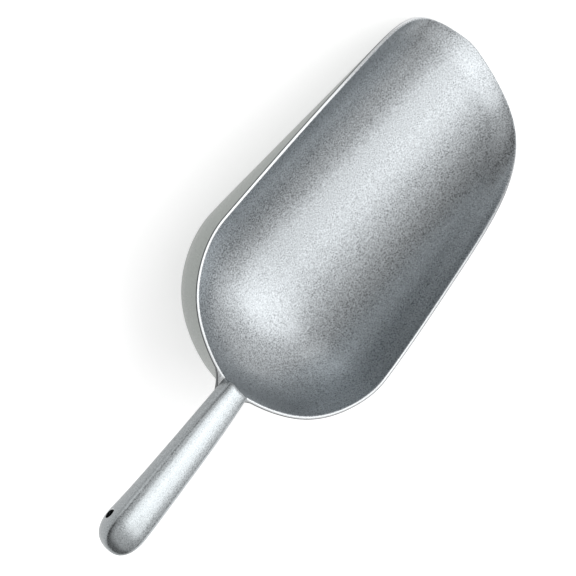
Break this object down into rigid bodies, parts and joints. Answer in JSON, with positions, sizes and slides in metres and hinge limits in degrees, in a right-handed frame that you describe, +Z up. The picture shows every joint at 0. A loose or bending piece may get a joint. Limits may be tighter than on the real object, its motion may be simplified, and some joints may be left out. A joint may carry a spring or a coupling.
{
  "type": "ice scoop",
  "caption": "Hand scoop for ice: round-bottomed aluminium trough with a rounded back, a lip that slopes forward, and a contoured grip with a hang hole.",
  "frame": {"origin": "middle of the bounding box, on the plane the scoop rests on", "axes": "+X from the grip to the lip, +Y to the left seen from the grip, +Z up out of the open trough"},
  "size_m": [0.3592, 0.142, 0.1073],
  "materials": {
    "bowl_aluminium": "cast and bead-blasted, fine even grain, satin; rim land ground bright",
    "handle_aluminium": "cast and bead-blasted, fine even grain, satin"
  },
  "bodies": {
    "root": {"bowl": "bowl_aluminium", "handle": "handle_aluminium"}
  },
  "joints": []
}
